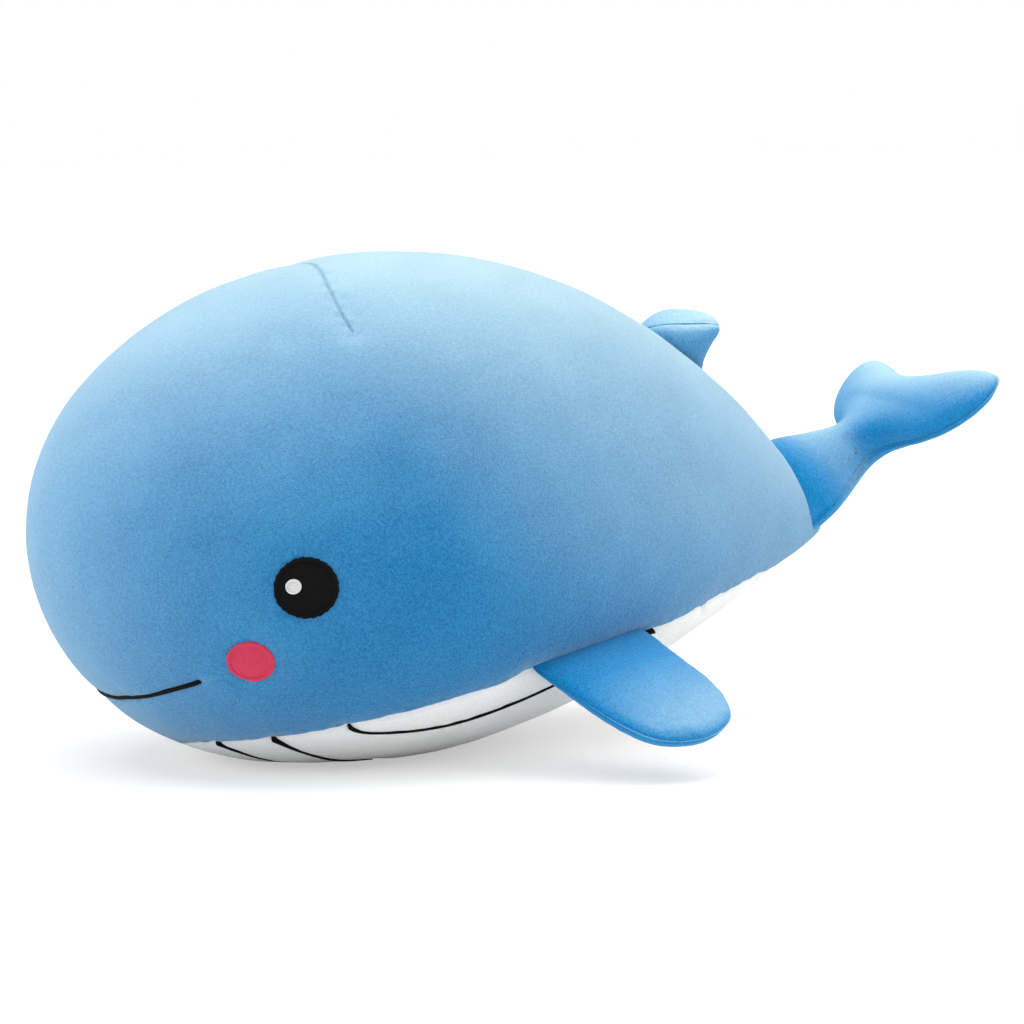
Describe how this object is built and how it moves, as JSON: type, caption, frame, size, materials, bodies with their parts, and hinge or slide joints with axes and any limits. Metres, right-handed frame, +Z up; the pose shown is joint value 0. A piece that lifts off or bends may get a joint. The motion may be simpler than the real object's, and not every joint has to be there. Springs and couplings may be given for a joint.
{
  "type": "plush whale",
  "caption": "Stuffed whale cushion with a rounded body, white belly, embroidered face, soft flippers, dorsal fin and raised tail.",
  "frame": {"origin": "middle of the flat that the belly rests on", "axes": "+X towards the nose, +Y to the whale's left, +Z up"},
  "size_m": [0.436, 0.2796, 0.2123],
  "materials": {
    "blue_plush": "short pile",
    "white_plush": "short pile",
    "black_thread": "satin stitch",
    "white_thread": "satin stitch",
    "pink_thread": "satin stitch",
    "stuffing": "loose fibre"
  },
  "bodies": {
    "body": {"back_shell": "blue_plush", "belly_panel": "white_plush", "body_filling": "stuffing", "mouth_line": "black_thread", "left_eye": "black_thread", "right_eye": "black_thread", "left_eye_highlight": "white_thread", "right_eye_highlight": "white_thread", "left_cheek": "pink_thread", "right_cheek": "pink_thread", "left_outer_belly_line": "black_thread", "left_middle_belly_line": "black_thread", "left_inner_belly_line": "black_thread", "right_outer_belly_line": "black_thread", "right_middle_belly_line": "black_thread", "right_inner_belly_line": "black_thread"},
    "left_flipper": {"left_flipper_top_panel": "blue_plush", "left_flipper_bottom_panel": "blue_plush", "left_flipper_filling": "stuffing"},
    "right_flipper": {"right_flipper_top_panel": "blue_plush", "right_flipper_bottom_panel": "blue_plush", "right_flipper_filling": "stuffing"},
    "dorsal_fin": {"dorsal_fin_left_panel": "blue_plush", "dorsal_fin_right_panel": "blue_plush", "dorsal_fin_filling": "stuffing"},
    "tail": {"tail_top_panel": "blue_plush", "tail_bottom_panel": "blue_plush", "tail_filling": "stuffing"}
  },
  "joints": [
    {"name": "left_flipper_flap", "type": "hinge", "parent": "body", "child": "left_flipper", "pos_m": [-0.07448, 0.08547, 0.04752], "axis": [0.9682, 0.1865, -0.167], "range_deg": [-20, 60], "stiffness_Nm_per_rad": 0.02},
    {"name": "right_flipper_flap", "type": "hinge", "parent": "body", "child": "right_flipper", "pos_m": [-0.07448, -0.08547, 0.04752], "axis": [-0.9682, 0.1865, 0.167], "range_deg": [-20, 60], "stiffness_Nm_per_rad": 0.02},
    {"name": "dorsal_fin_sway", "type": "hinge", "parent": "body", "child": "dorsal_fin", "pos_m": [-0.1662, 0, 0.16446], "axis": [0.825, 0, 0.5651], "range_deg": [-10, 30], "stiffness_Nm_per_rad": 0.01},
    {"name": "tail_lift", "type": "hinge", "parent": "body", "child": "tail", "pos_m": [-0.22499, 0, 0.10248], "axis": [0, 1, 0], "range_deg": [-12, 12], "stiffness_Nm_per_rad": 0.15}
  ]
}
